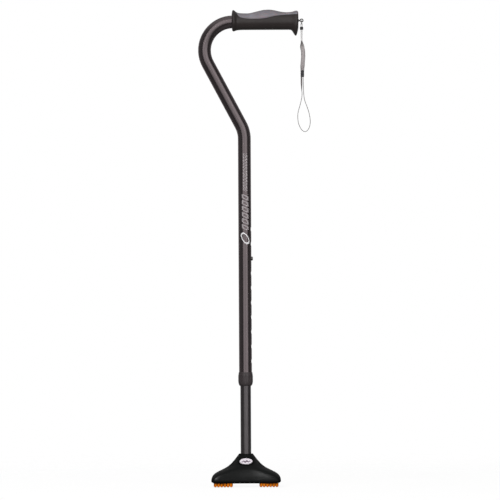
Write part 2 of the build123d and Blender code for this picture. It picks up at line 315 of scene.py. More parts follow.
def anodised(name, colour, rough, printed=False):
    """Satin anodised tube: metal flake, long draw lines, light handling wear."""
    s = Shader(name)
    flake = s.noise(5200, 2, 0.7)
    lines = s.noise(900, 3, 0.6, (1, 1, 0.02))
    cloud = s.noise(22, 3, 0.5)
    base = s.mix(s.remap(flake, 0.35, 0.7), scaled(colour, 0.86), scaled(colour, 1.16))
    base = s.mix(s.remap(lines, 0.42, 0.68, 0, 0.35), base, scaled(colour, 1.30))
    base = s.mix(s.remap(cloud, 0.4, 0.7, 0, 0.25), base, scaled(colour, 0.82))
    rub = s.remap(s.edge(0.0006), 0, 1, 0, 0.6)
    base = s.mix(rub, base, BARE_ALUMINIUM)
    rough = s.remap(flake, 0.3, 0.75, rough - 0.03, rough + 0.04)
    metalness = 0.96
    if printed:
        ink, white = print_marks(s)
        base = s.mix(s.math("MULTIPLY", ink, 0.9), base, PRINT_GREY)
        base = s.mix(white, base, PRINT_WHITE)
        covered = s.math("MAXIMUM", s.math("MULTIPLY", ink, 0.8), white)
        metalness = s.math("SUBTRACT", metalness, covered, True)
    s.set(Base_Color=base, Metallic=metalness, Roughness=rough)
    s.set(Coat_Weight=0.12, Coat_Roughness=0.25)
    relief = s.math("ADD", s.math("MULTIPLY", flake, 0.3), s.math("MULTIPLY", lines, 0.7))
    s.bump(relief, 0.000006, 0.4)
    return s.mat


def print_marks(s):
    """Plain printed band on the front of the tube: outlined slanted bars and an oval ring."""
    x, y, z = s.axis("X"), s.axis("Y"), s.axis("Z")
    front = s.remap(y, -0.002, -0.004)
    ink = 0.0
    for low, high, period, half_width, middle in PRINT_BARS:
        lean = s.math("ADD", z, s.math("MULTIPLY", x, PRINT_LEAN))
        turn = s.math("FRACT", s.math("DIVIDE", s.math("SUBTRACT", lean, low), period))
        along = s.math("DIVIDE", s.math("ABSOLUTE", s.math("SUBTRACT", turn, 0.5)), 0.36)
        across = s.math("DIVIDE", s.math("ABSOLUTE", s.math("SUBTRACT", x, middle)), half_width)
        box = s.math("MAXIMUM", along, across)
        line = s.math("MULTIPLY", s.remap(box, 1.02, 0.94), s.remap(box, 0.50, 0.62))
        span = s.math("MULTIPLY", s.remap(z, low, low + 0.0008), s.remap(z, high, high - 0.0008))
        ink = s.math("MAXIMUM", s.math("MULTIPLY", line, span), ink)
    dx = s.math("SUBTRACT", x, RING_MIDDLE[0])
    dz = s.math("SUBTRACT", z, RING_MIDDLE[1])
    side = s.math("DIVIDE", s.math("ADD", dx, s.math("MULTIPLY", dz, RING_LEAN)), RING_HALF[0])
    rise = s.math("DIVIDE", dz, RING_HALF[1])
    radius = s.math("SQRT", s.math("ADD", s.math("POWER", side, 2.0), s.math("POWER", rise, 2.0)))
    ring = s.math("MULTIPLY", s.remap(radius, 1.0, 0.94), s.remap(radius, 0.70, 0.76))
    return s.math("MULTIPLY", ink, front), s.math("MULTIPLY", ring, front)


def moulded(name, colour, rough=0.5, grain=1400, depth=0.00003, edge=0.0, sheen=0.0,
            fleck=0.12, shine=0.5, dull_rim=False):
    """Moulded plastic or rubber: fine grain, slow colour drift, rubbed edges."""
    s = Shader(name)
    fine = s.noise(grain, 4, 0.6)
    slow = s.noise(35, 3, 0.5)
    base = s.mix(s.remap(fine, 0.35, 0.7), scaled(colour, 1 - fleck), scaled(colour, 1 + fleck))
    base = s.mix(s.remap(slow, 0.4, 0.72, 0, 0.5), base, scaled(colour, 0.8))
    if edge:
        base = s.mix(s.math("MULTIPLY", s.edge(0.0008), edge), base,
                     tuple(min(1, c * 1.8 + 0.02) for c in colour))
    s.set(Base_Color=base, Roughness=s.remap(slow, 0.3, 0.75, rough - 0.05, rough + 0.06))
    s.set(Specular_IOR_Level=shine)
    if dull_rim:
        facing = s.node("ShaderNodeLayerWeight").outputs["Facing"]
        s.set(Specular_IOR_Level=s.remap(facing, 0.55, 0.95, shine, shine * 0.12))
    if sheen:
        s.set(Sheen_Weight=sheen, Sheen_Roughness=0.4)
    s.bump(fine, depth, 0.8)
    return s.mat


# Cushion pods, millimetres: centre from the shaft axis, half size, corner, ribs
POD_X, POD_Y = 39.5, 22.5
POD_HALF_X, POD_HALF_Y, POD_CORNER = 16.5, 11.5, 6.0
POD_RIBS = 6
POD_PITCH = 2 * POD_HALF_X / POD_RIBS


def pod_material():
    """Orange cushion rubber, with painted shade darkening the grooves between the ribs."""
    s = Shader("pod_rubber")
    colour = (0.96, 0.25, 0.008)
    fine = s.noise(1300, 4, 0.6)
    slow = s.noise(60, 3, 0.5)
    base = s.mix(s.remap(fine, 0.35, 0.7), scaled(colour, 0.95), scaled(colour, 1.04))
    base = s.mix(s.remap(slow, 0.4, 0.72, 0, 0.5), base, scaled(colour, 0.88))
    away = s.math("SUBTRACT", s.math("ABSOLUTE", s.axis("X")), (POD_X - POD_HALF_X) * MM)
    turn = s.math("FRACT", s.math("ADD", s.math("DIVIDE", away, POD_PITCH * MM), 0.5))
    off = s.math("ABSOLUTE", s.math("SUBTRACT", turn, 0.5))
    middle = s.math("ABSOLUTE", s.math("SUBTRACT", away, POD_HALF_X * MM))
    ends = s.remap(middle, (POD_HALF_X - 1) * MM, (POD_HALF_X - 3) * MM)
    # Painted shade: dark brown laid into the grooves between the ribs, fading out towards the pod
    # ends
    groove_shade = s.math("MULTIPLY", s.remap(off, 0.05, 0.19, 0.85, 0.0), ends)
    base = s.mix(groove_shade, base, (0.17, 0.055, 0.012))
    s.set(Base_Color=base, Roughness=0.6, Specular_IOR_Level=0.3)
    s.bump(fine, 0.00005, 0.8)
    return s.mat


def metal(name, colour, rough=0.22):
    """Plated or spring steel with fine scratches."""
    s = Shader(name)
    scratch = s.noise(2600, 3, 0.7, (1, 1, 0.08))
    slow = s.noise(120, 3, 0.5)
    base = s.mix(s.remap(slow, 0.35, 0.7), scaled(colour, 0.85), colour)
    s.set(Base_Color=base, Metallic=1.0)
    s.set(Roughness=s.remap(scratch, 0.3, 0.75, rough - 0.05, rough + 0.1))
    s.bump(scratch, 0.000008, 0.5)
    return s.mat


def gel_material():
    """Soft grey-mauve gel: satin skin, faint mottling, a little light through it."""
    s = Shader("grip_gel")
    colour = (0.235, 0.215, 0.238)
    slow = s.noise(60, 3, 0.5)
    fine = s.noise(2200, 3, 0.6)
    base = s.mix(s.remap(slow, 0.35, 0.7), scaled(colour, 0.86), scaled(colour, 1.1))
    base = s.mix(s.remap(fine, 0.4, 0.7, 0, 0.35), base, scaled(colour, 1.22))
    s.set(Base_Color=base, Roughness=s.remap(slow, 0.3, 0.7, 0.36, 0.46))
    s.set(Subsurface_Weight=0.12, Subsurface_Scale=0.003)
    s.set(Coat_Weight=0.08, Coat_Roughness=0.4)
    s.bump(fine, 0.000012, 0.7)
    return s.mat


WARP_ENDS = 11
WEFT_PITCH = 0.0011


def webbing_material():
    """Woven band: u runs along it in metres, v across it from 0 to 1."""
    s = Shader("webbing")
    split = s.node("ShaderNodeSeparateXYZ")
    s.link(s.coord.outputs["UV"], split.inputs[0])
    u, v = split.outputs["X"], split.outputs["Y"]
    warp = s.math("SINE", s.math("MULTIPLY", v, 2 * math.pi * WARP_ENDS))
    weft = s.math("SINE", s.math("MULTIPLY", u, 2 * math.pi / WEFT_PITCH))
    twill = s.math("SINE", s.math("ADD", s.math("MULTIPLY", v, math.pi * WARP_ENDS),
                                  s.math("MULTIPLY", u, math.pi / WEFT_PITCH)))
    weave = s.math("ADD", s.math("MULTIPLY", warp, weft), s.math("MULTIPLY", twill, 0.6))
    fuzz = s.noise(3500, 3, 0.7)
    face = s.mix(s.remap(weave, -1.2, 1.2), (0.27, 0.245, 0.245), (0.52, 0.48, 0.48))
    face = s.mix(s.remap(fuzz, 0.4, 0.75, 0, 0.3), face, (0.6, 0.57, 0.57))
    rim = s.math("ABSOLUTE", s.math("SUBTRACT", v, 0.5))
    dark = s.math("MULTIPLY", s.remap(rim, 0.36, 0.40), s.remap(weave, -1.4, 0.4, 1.0, 0.75))
    face = s.mix(dark, face, (0.13, 0.12, 0.125))
    side = s.remap(rim, 0.44, 0.465)
    face = s.mix(side, face, (0.27, 0.25, 0.25))
    s.set(Base_Color=face, Roughness=0.78, Sheen_Weight=0.35, Sheen_Roughness=0.4)
    relief = s.math("ADD", s.math("MULTIPLY", weave, s.math("SUBTRACT", 1.0, side)),
                    s.math("MULTIPLY", fuzz, 0.5))
    s.bump(relief, 0.00012, 0.7)
    return s.mat


BRAID_ACROSS = 2600
BRAID_ALONG = 4200


def cord_material():
    """Fine braided cord."""
    s = Shader("cord")
    x, z = s.axis("X"), s.axis("Z")
    one = s.math("SINE", s.math("ADD", s.math("MULTIPLY", x, BRAID_ACROSS),
                                s.math("MULTIPLY", z, BRAID_ALONG)))
    two = s.math("SINE", s.math("SUBTRACT", s.math("MULTIPLY", x, BRAID_ACROSS),
                                s.math("MULTIPLY", z, BRAID_ALONG)))
    braid = s.math("MULTIPLY", one, two)
    base = s.mix(s.remap(braid, -0.8, 0.8), (0.40, 0.38, 0.38), (0.72, 0.70, 0.70))
    s.set(Base_Color=base, Roughness=0.8, Sheen_Weight=0.3)
    s.bump(braid, 0.00008, 0.7)
    return s.mat


# Metres across the badge's box in X and Z, and the middle of the mark as a share of them
BADGE_BOX = (0.022, 0.0104)
MARK_MIDDLE = (0.5, 0.49)


def badge_material():
    """Glossy off-white oval with a plain wavy stroke, laid out on the piece's own box."""
    s = Shader("badge")
    across = s.math("SUBTRACT", s.axis("X", "Generated"), MARK_MIDDLE[0])
    up = s.math("SUBTRACT", s.axis("Z", "Generated"), MARK_MIDDLE[1])
    x, z = s.math("MULTIPLY", across, BADGE_BOX[0]), s.math("MULTIPLY", up, BADGE_BOX[1])
    lean = s.math("SUBTRACT", x, s.math("MULTIPLY", z, 0.6))
    wave = s.math("MULTIPLY", s.math("SINE", s.math("MULTIPLY", x, 1150.0)), 0.0008)
    swell = s.remap(s.math("ABSOLUTE", lean), 0.0078, 0.001, 0.0005, 0.0013)
    band = s.math("SUBTRACT", s.math("ABSOLUTE", s.math("SUBTRACT", z, wave)), swell)
    mark = s.math("MULTIPLY", s.remap(band, 0.0002, -0.0001),
                  s.remap(s.math("ABSOLUTE", lean), 0.0080, 0.0076))
    slow = s.noise(140, 3, 0.5)
    base = s.mix(s.remap(slow, 0.35, 0.7), (0.80, 0.745, 0.81), (0.90, 0.84, 0.91))
    base = s.mix(s.math("MULTIPLY", mark, 0.92), base, (0.10, 0.05, 0.095))
    s.set(Base_Color=base, Roughness=0.22, Coat_Weight=0.6, Coat_Roughness=0.08)
    s.bump(slow, 0.00002, 0.3)
    return s.mat


# One material for each slot of the record
MATERIALS = {
    "shaft_upper": anodised("shaft_upper", (0.33, 0.28, 0.292), 0.22, printed=True),
    "shaft_lower": anodised("shaft_lower", (0.275, 0.256, 0.266), 0.34),
    "lock_nylon": moulded("lock_nylon", (0.058, 0.049, 0.051), 0.34, 1800, 0.00001, 0.2),
    "nylon_black": moulded("nylon_black", (0.02, 0.02, 0.021), 0.5, 1600, 0.00002, 0.2),
    "spring_steel": metal("spring_steel", (0.42, 0.42, 0.44), 0.3),
    "bright_steel": metal("bright_steel", (0.34, 0.33, 0.33), 0.26),
    "grip_rubber": moulded("grip_rubber", (0.030, 0.0245, 0.0235), 0.36, 1500, 0.00003,
                           sheen=0.05, fleck=0.14, shine=0.8),
    "grip_gel": gel_material(),
    "webbing": webbing_material(),
    "cord": cord_material(),
    "keeper": moulded("keeper", (0.05, 0.05, 0.053), 0.4, 1800, 0.00002, 0.3),
    "base_rubber": moulded("base_rubber", (0.0036, 0.0042, 0.0042), 0.36, 1300, 0.00002,
                           shine=0.27, dull_rim=True),
    "pod_rubber": pod_material(),
    "badge": badge_material(),
    "ankle_elastomer": moulded("ankle_elastomer", (0.03, 0.03, 0.03), 0.6, 900, 0.00004),
}


def dress_cad():
    """Give every CAD node the material of its slot."""
    for sub in frame["record"]["subparts"]:
        node = NODES[sub["node"]]
        node.data.materials.clear()
        node.data.materials.append(MATERIALS[sub["material_slot"]])


def place(obj, body, node):
    """Let a skin ride its body and stand for one CAD node."""
    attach(obj, body)
    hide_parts(node)


# ----------------------------------------------------------------------- grip

GRIP_TOP = smooth_curve([
    (-20.5, 819.6), (-20.1, 822.6), (-19.2, 824.6), (-17.8, 825.0), (-16.2, 824.2),
    (-13.6, 821.9), (-10.5, 820.4), (-4, 819.4), (6.8, 819.0), (20.7, 821.6), (29.3, 823.6),
    (36, 824.8), (44, 825.1), (53.6, 823.8), (60.5, 822.2), (66, 821.2), (72.5, 820.8),
    (81, 821.2), (85, 822.0), (88, 823.0), (91, 823.5), (93.2, 822.8), (94.2, 821.2),
    (94.5, 819.6),
])
GRIP_LOW = smooth_curve([
    (-20.5, 793.4), (-20.1, 790.4), (-19.2, 788.6), (-17.4, 787.9), (-15.4, 788.5),
    (-12.4, 789.6), (-7, 790.2), (0, 790.4), (40, 790.4), (78, 790.3), (81.5, 789.9),
    (83.4, 788.4), (85.2, 785.8), (87.4, 782.2), (89.2, 780.2), (90.6, 780.2),
    (92.2, 783.2), (93.4, 788.0), (94.2, 791.4), (94.5, 793.6),
])
GRIP_HALF = smooth_curve([
    (-20.5, 13.2), (-20.1, 15.8), (-19.2, 17.7), (-17.6, 18.4), (-15.8, 17.8),
    (-12.8, 15.6), (-9, 14.5), (7, 14.2), (24, 15.2), (43.5, 16.0), (59, 15.4),
    (73, 14.6), (82, 14.8), (86, 15.8), (90, 16.9), (92.6, 16.4), (94.1, 14.9), (94.5, 13.4),
])
SEAM = smooth_curve([
    (-13.2, 822.4), (-11.4, 818.6), (-5.6, 812.8), (4.2, 810.6), (21.8, 809.7),
    (39.4, 811.3), (57, 815.6), (74.8, 817.7), (96, 818.6),
])
GRIP_LEFT, GRIP_RIGHT = -20.5, 94.5
SECTION_POWER = 0.94
SEAM_LEFT = -13.2
SEAM_OPENS = (-13.4, -11.5)
TUBE_Z = 804.6
TUBE_R = 11.12
EYE = np.array([100.1, 0, 806.3])


def grip_point(x, angle, inset=0.0):
    """Grip surface point; angle 90 deg is the top, 270 the bottom."""
    top, low, half = GRIP_TOP(x), GRIP_LOW(x), GRIP_HALF(x)
    c, s = math.cos(angle), math.sin(angle)
    reach = (top - TUBE_Z) if s > 0 else (TUBE_Z - low)
    spur = smoothstep(x, 82, 89) * (1 - smoothstep(x, 92.5, 94.5)) if s < 0 else 0.0
    y_power = SECTION_POWER + 0.22 * spur
    z_power = SECTION_POWER - 0.10 * spur
    y = (half - inset) * math.copysign(abs(c) ** y_power, c)
    z = TUBE_Z + (reach - inset) * math.copysign(abs(s) ** z_power, s)
    return float(x), float(y), float(z)


def seam_angle(x):
    """Angle above the front horizontal at which the section meets the seam."""
    if x < SEAM_LEFT:
        return math.pi / 2
    rise = (SEAM(x) - TUBE_Z) / max(GRIP_TOP(x) - TUBE_Z, 1e-6)
    if rise >= 1:
        return math.pi / 2
    return math.asin(float(rise) ** (1 / SECTION_POWER))


def grip_stations(low, high):
    """Section positions along the grip, closer together at its rounded ends."""
    xs = set(np.linspace(low, high, int((high - low) / 0.9) + 2))
    for end, sign in ((GRIP_LEFT, 1), (GRIP_RIGHT, -1)):
        for step in (0, 0.08, 0.2, 0.4, 0.7, 1.1, 1.6, 2.2):
            x = end + sign * step
            if low <= x <= high:
                xs.add(x)
    return sorted(xs)


def seam_dip(distance, x):
    """How far the skin dives beside the seam, distance in degrees of section angle."""
    deep = 0.75 + 0.55 * float(smoothstep(x, 10, 40))
    return deep * math.exp(-((distance / 3.6) ** 2))


def grip_body():
    """Outer rubber skin, open where the gel sits, running in to the tube at its left end."""
    rings = []
    around = 96
    for x in grip_stations(GRIP_LEFT, GRIP_RIGHT):
        a0 = seam_angle(x)
        opening = float(smoothstep(x, *SEAM_OPENS))
        span = 2 * math.pi - (math.pi - 2 * a0)
        ring = []
        for k in range(around + 1):
            angle = math.pi - a0 + span * k / around
            off = math.degrees(min(k, around - k) / around * span)
            groove = seam_dip(off, x) * opening
            ring.append(grip_point(x, angle, groove + end_groove(x)))
        rings.append(ring)
    verts = joined(rings)
    n = around + 1
    faces = quads(len(rings), n, ring=False)
    left_cap(verts, faces, rings[0], TUBE_R)
    right_cap(verts, faces, len(rings) - 1, n, rings[-1])
    return make_object("grip_body_skin", verts, faces, MATERIALS["grip_rubber"], 50)


def end_groove(x):
    """Two shallow moulding rings near the spur."""
    return 0.28 * math.exp(-((x - 77.4) / 0.55) ** 2) + 0.2 * math.exp(-((x - 80.6) / 0.5) ** 2)


def left_cap(verts, faces, ring, radius):
    """Rounded face from the left flange in to the tube."""
    n = len(ring)
    last = list(range(n))
    for share, out in ((0.12, -0.25), (0.5, -0.35), (0.88, -0.1), (1.0, 0.5), (1.0, 5.0)):
        start = len(verts)
        for x, y, z in ring:
            d = math.hypot(y, z - TUBE_Z)
            r = d + (radius - d) * share
            verts.append((x + out, y / d * r, TUBE_Z + (z - TUBE_Z) / d * r))
        for k in range(n - 1):
            faces.append((last[k], last[k + 1], start + k + 1, start + k))
        last = list(range(start, start + n))


def right_cap(verts, faces, row, n, ring):
    """Slightly domed end face of the body under the gel, with the eye screw's hole."""
    last = [row * n + k for k in range(n)]
    hole = 1.3 / 15
    for share, out in ((0.10, 0.12), (0.35, 0.2), (0.7, 0.2), (0.9, 0.1), (1.0, -0.4)):
        start = len(verts)
        shrink = 1 - share + hole * share
        for x, y, z in ring:
            verts.append((x + out, y * shrink, EYE[2] + (z - EYE[2]) * shrink))
        for k in range(n - 1):
            faces.append((last[k], last[k + 1], start + k + 1, start + k))
        last = list(range(start, start + n))


PAD_THICK = 2.2


def grip_pad():
    """Gel inlay: a crowned shell between the seams, proud at the palm swell."""
    around = 48
    top_rows = []
    xs = grip_stations(SEAM_LEFT + 0.1, GRIP_RIGHT)
    for x in xs:
        a0 = seam_angle(x)
        opening = float(smoothstep(x, *SEAM_OPENS))
        row = []
        for k in range(around + 1):
            share = k / around
            angle = a0 + (math.pi - 2 * a0) * share
            off = math.degrees(min(share, 1 - share) * (math.pi - 2 * a0))
            crown = 0.35 * math.sin(math.pi * share) * float(smoothstep(x, -8, 20))
            crown *= 1 - float(smoothstep(x, 60, 84))
            dip = seam_dip(off, x) * opening
            row.append(grip_point(x, angle, dip - crown + 0.02))
        top_rows.append(row)
    deep_rows = []
    for x, row in zip(xs, top_rows):
        deep = []
        for px, y, z in row:
            d = math.hypot(y, z - TUBE_Z)
            k = max(0.0, d - PAD_THICK) / max(d, 1e-6)
            deep.append((px, y * k, TUBE_Z + (z - TUBE_Z) * k))
        deep_rows.append(deep)
    n = around + 1
    verts = joined(top_rows) + joined(deep_rows)
    half = len(top_rows) * n
    faces = []
    for i in range(len(top_rows) - 1):
        for k in range(around):
            a, b, c, d = i * n + k, i * n + k + 1, (i + 1) * n + k + 1, (i + 1) * n + k
            faces.append((a, b, c, d))
            faces.append((half + a, half + d, half + c, half + b))
        for k in (0, around):
            a, d = i * n + k, (i + 1) * n + k
            faces.append((a, d, half + d, half + a))
    for i in (0, len(top_rows) - 1):
        for k in range(around):
            a, b = i * n + k, i * n + k + 1
            faces.append((a, b, half + b, half + a))
    return make_object("grip_gel_skin", verts, faces, MATERIALS["grip_gel"], 50)


# ----------------------------------------------------------------------- base

BELL_X = smooth_curve([
    (57, 12.0), (54.5, 13.6), (51, 16.4), (47.6, 18.9), (44, 22.1), (40.7, 24.9),
    (37.2, 28.9), (33.8, 33.3), (30.3, 39.3), (26.8, 45.8), (23.4, 51.9), (19.9, 56.1),
    (16.4, 58.6), (13, 60.0), (11.3, 60.3), (9.5, 60.0), (8.0, 58.4), (7.2, 57.0), (7, 56.0),
])
BELL_Y = smooth_curve([
    (57, 12.0), (54.5, 13.2), (51, 15.4), (47.6, 17.4), (44, 19.6), (40.7, 21.5),
    (37.2, 23.8), (33.8, 26.6), (30.3, 29.8), (26.8, 32.9), (23.4, 35.6), (19.9, 37.8),
    (16.4, 39.2), (13, 39.9), (11.3, 40.0), (9.5, 39.8), (8.0, 38.6), (7.2, 37.4), (7, 36.5),
])
BELL_LOBES = smooth_curve([
    (57, 0), (51, 0.0), (44, 0.08), (37, 0.3), (31.5, 0.55), (26, 0.8), (20, 0.95), (14, 1),
    (7, 1),
])
AROUND = 192
NECK_CUT_Z = 37.0
SOLE_Z = 6.4
SOLE_HOLE = 21.2


def bell_ring(z):
    """Plan curve of the bell at height z: round at the neck, four feet below."""
    lobes = float(BELL_LOBES(z))
    t = np.linspace(0, 2 * math.pi, AROUND, endpoint=False)
    waist = 1 - lobes * (0.12 * np.cos(2 * t) ** 2 + 0.12 * np.minimum(0, np.cos(2 * t)) ** 2)
    power = 1 - 0.5 * lobes
    c, s = np.cos(t), np.sin(t)
    x = np.sign(c) * np.abs(c) ** power * waist
    y = np.sign(s) * np.abs(s) ** power * waist
    x *= float(BELL_X(z)) / x.max()
    y *= float(BELL_Y(z)) / y.max()
    return [(a, b, float(z)) for a, b in zip(x, y)]


def bell_skins():
    """The rubber bell in two pieces that meet below the badge."""
    inner = smooth_curve([(7, SOLE_HOLE), (12, 19.6), (22, 18.6), (34, 15.2), (37, 13.9),
                          (40, 10.9), (57, 10.65)])
    low_z = [NECK_CUT_Z, NECK_CUT_Z - 0.05] + list(np.linspace(NECK_CUT_Z - 0.5, 14, 34))
    low_z += list(np.linspace(13.4, 7.6, 12))
    low_z += [7.2, 6.8, 6.5, SOLE_Z]
    rings = [bell_ring(z) for z in low_z]
    sole = np.array(rings[-1])
    hole = np.array(circle(SOLE_HOLE, SOLE_Z, AROUND))
    for share in (0.02, 0.25, 0.5, 0.75, 0.97):
        rings.append([tuple(p) for p in sole * (1 - share) + hole * share])
    for z in np.linspace(SOLE_Z, NECK_CUT_Z, 22):
        rings.append(circle(float(inner(z)), float(z), AROUND))
    low = loop_of_rings("base_bell_skin", rings, MATERIALS["base_rubber"], True, 42)
    rings = []
    for z in [NECK_CUT_Z, NECK_CUT_Z + 0.05] + list(np.linspace(NECK_CUT_Z + 0.5, 56.2, 30)):
        rings.append(bell_ring(z))
    for z, r in ((56.7, 11.9), (56.95, 11.6), (57.0, 11.2), (56.8, 10.8), (56.3, 10.65)):
        rings.append(circle(r, z, AROUND))
    for z in np.linspace(55.5, NECK_CUT_Z, 24):
        rings.append(circle(float(inner(z)), float(z), AROUND))
    high = loop_of_rings("base_neck_skin", rings, MATERIALS["base_rubber"], True, 42)
    crease_at(low, NECK_CUT_Z)
    crease_at(high, NECK_CUT_Z)
    return low, high


BADGE_TILT = math.radians(33)
BADGE_OUT = np.array([0, -math.cos(BADGE_TILT), math.sin(BADGE_TILT)])
BADGE_UP = np.array([0, math.sin(BADGE_TILT), math.cos(BADGE_TILT)])
BADGE_MID = np.array([0, -19.9, 44.3])


def oval_rings(profile, count=96):
    """Rings of an oval turned boss from (half width, half height, lift) rows."""
    rings = []
    for a, b, lift in profile:
        ring = []
        for t in np.linspace(0, 2 * math.pi, count, endpoint=False):
            p = BADGE_MID + np.array([a * math.cos(t), 0, 0]) + BADGE_UP * b * math.sin(t)
            ring.append(tuple(p + BADGE_OUT * lift))
        rings.append(ring)
    return rings


def badge_pieces():
    """Rubber boss with a raised rim, and the plate set in it."""
    frame_rows = [
        (13.9, 9.1, -7.0), (13.5, 8.7, -1.2), (13.2, 8.4, -0.2), (12.8, 8.0, 0.45),
        (12.0, 7.1, 0.66), (11.5, 6.5, 0.56), (11.15, 6.05, 0.0), (11.05, 5.95, -0.8),
    ]
    boss = capped_rings("base_badge_boss", oval_rings(frame_rows), MATERIALS["base_rubber"], 45)
    plate_rows = [
        (11.0, 5.9, -0.7), (11.0, 5.9, 0.25), (10.85, 5.75, 0.48), (10.45, 5.4, 0.58),
        (8.3, 4.3, 0.66), (5.0, 2.6, 0.72), (1.5, 0.8, 0.74),
    ]
    plate = capped_rings("base_badge_plate", oval_rings(plate_rows), MATERIALS["badge"], 45)
    return boss, plate


POD_TOP = 10.9
GROOVE_HALF = 0.95
GROOVE_DEPTH = 1.9
FLUTE_DEPTH = 0.9
SOLE_ROUND = 1.3


def pod(name, cx, cy):
    """Cushion pod: rounded pad whose underside is six soft cross ribs."""
    half_x, half_y, corner = POD_HALF_X, POD_HALF_Y, POD_CORNER
    columns, rows = 133, 29
    us = np.linspace(-1, 1, columns)
    vs = np.linspace(-1, 1, rows)

    def groove(x):
        """1 in the middle of a groove, fading to 0 on the ribs."""
        phase = (x + half_x) / POD_PITCH
        return math.exp(-((abs(phase - round(phase)) * POD_PITCH / GROOVE_HALF) ** 2))

    def outline(u, v):
        x = u * half_x
        y = v * (half_y - (FLUTE_DEPTH * groove(x) if abs(x) < half_x - 1 else 0))
        ox, oy = abs(x) - (half_x - corner), abs(y) - (half_y - corner)
        if ox > 0 and oy > 0:
            d = math.hypot(ox, oy)
            m = max(ox, oy)
            k = m / d
            x = math.copysign(half_x - corner + ox * k, x)
            y = math.copysign(half_y - corner + oy * k, y)
        return x, y

    def floor(x, y):
        rib = GROOVE_DEPTH * groove(x)
        edge = min(half_x - abs(x), half_y - abs(y))
        ox, oy = abs(x) - (half_x - corner), abs(y) - (half_y - corner)
        if ox > 0 and oy > 0:
            edge = corner - math.hypot(ox, oy)
        inward = max(0.0, 1 - edge / SOLE_ROUND)
        roll = SOLE_ROUND * (1 - math.sqrt(max(0.0, 1 - inward ** 2)))
        return max(rib, roll if edge > 0.02 else SOLE_ROUND)

    verts, faces = [], []
    for v in vs:
        for u in us:
            x, y = outline(u, v)
            verts.append((cx + x, cy + y, floor(x, y)))
    base = len(verts)
    for v in vs:
        for u in us:
            x, y = outline(u, v)
            verts.append((cx + x, cy + y, POD_TOP))
    for j in range(rows - 1):
        for i in range(columns - 1):
            a, b = j * columns + i, j * columns + i + 1
            c, d = b + columns, a + columns
            faces.append((a, d, c, b))
            faces.append((base + a, base + b, base + c, base + d))
    for i in range(columns - 1):
        for j in (0, rows - 1):
            a, b = j * columns + i, j * columns + i + 1
            faces.append((a, b, base + b, base + a))
    for j in range(rows - 1):
        for i in (0, columns - 1):
            a, d = j * columns + i, (j + 1) * columns + i
            faces.append((a, d, base + d, base + a))
    return make_object(name, verts, faces, MATERIALS["pod_rubber"], 60)


# ------------------------------------------------------------------- lock nut

NUT_FLUTES = 10
FLUTE_CUT = 0.62


def lock_nut():
    """Nut with soft flutes between rounded lands, bell mouth up, taper down."""
    outer = smooth_curve([
        (174.4, 9.9), (174.9, 10.5), (176.0, 11.2), (178, 12.0), (180.5, 12.45),
        (182.5, 12.65), (191.0, 12.65), (192.8, 12.5), (194.4, 12.2), (196.2, 11.95),
        (197.6, 11.75), (198.0, 11.45),
    ])
    rings = []
    count = 240
    zs = list(np.linspace(174.4, 176, 6)) + list(np.linspace(176.6, 191.6, 34))
    zs += list(np.linspace(192, 198, 12))
    t = np.linspace(0, 2 * math.pi, count, endpoint=False)
    for z in zs:
        window = float(smoothstep(z, 177.5, 182) * (1 - smoothstep(z, 190.4, 193.0)))
        wave = (0.5 + 0.5 * np.cos(NUT_FLUTES * t + math.pi)) ** 2.2
        r = float(outer(z)) - FLUTE_CUT * window * wave
        rings.append([(float(q * math.cos(a)), float(q * math.sin(a)), float(z))
                      for q, a in zip(r, t)])
    for z, r in ((198.0, 11.3), (197.8, 11.2), (192.3, 11.2), (192.2, 10.7), (176.3, 10.7),
                 (176.2, 10.6), (176.2, 9.4), (176.1, 9.32), (174.5, 9.32), (174.4, 9.4)):
        rings.append(circle(r, z, count))
    return loop_of_rings("lock_nut_skin", rings, MATERIALS["lock_nylon"], True, 38)


# ---------------------------------------------------------------- wrist strap

# Keeper's middle, and its half widths and corner radius outside and inside
KEEPER_X = 101.0
KEEPER_OUTER = (3.05, 5.0, 1.2)
KEEPER_INNER = (2.4, 4.0, 0.5)
HEAD_LOW, HEAD_TOP = 712, 771.5
CORD_R = 0.6
WEBBING_HALF_WIDTH, WEBBING_HALF_THICK = 3.6, 0.5


def twist(z):
    """Turn of the webbing about its length: 0 flat to the side view, 1 edge-on."""
    low = 0.5 * (1 - smoothstep(z, 716, 738)) + 0.5 * (1 - smoothstep(z, 712, 719))
    high = smoothstep(z, 756, 772)
    return float(max(low, high))


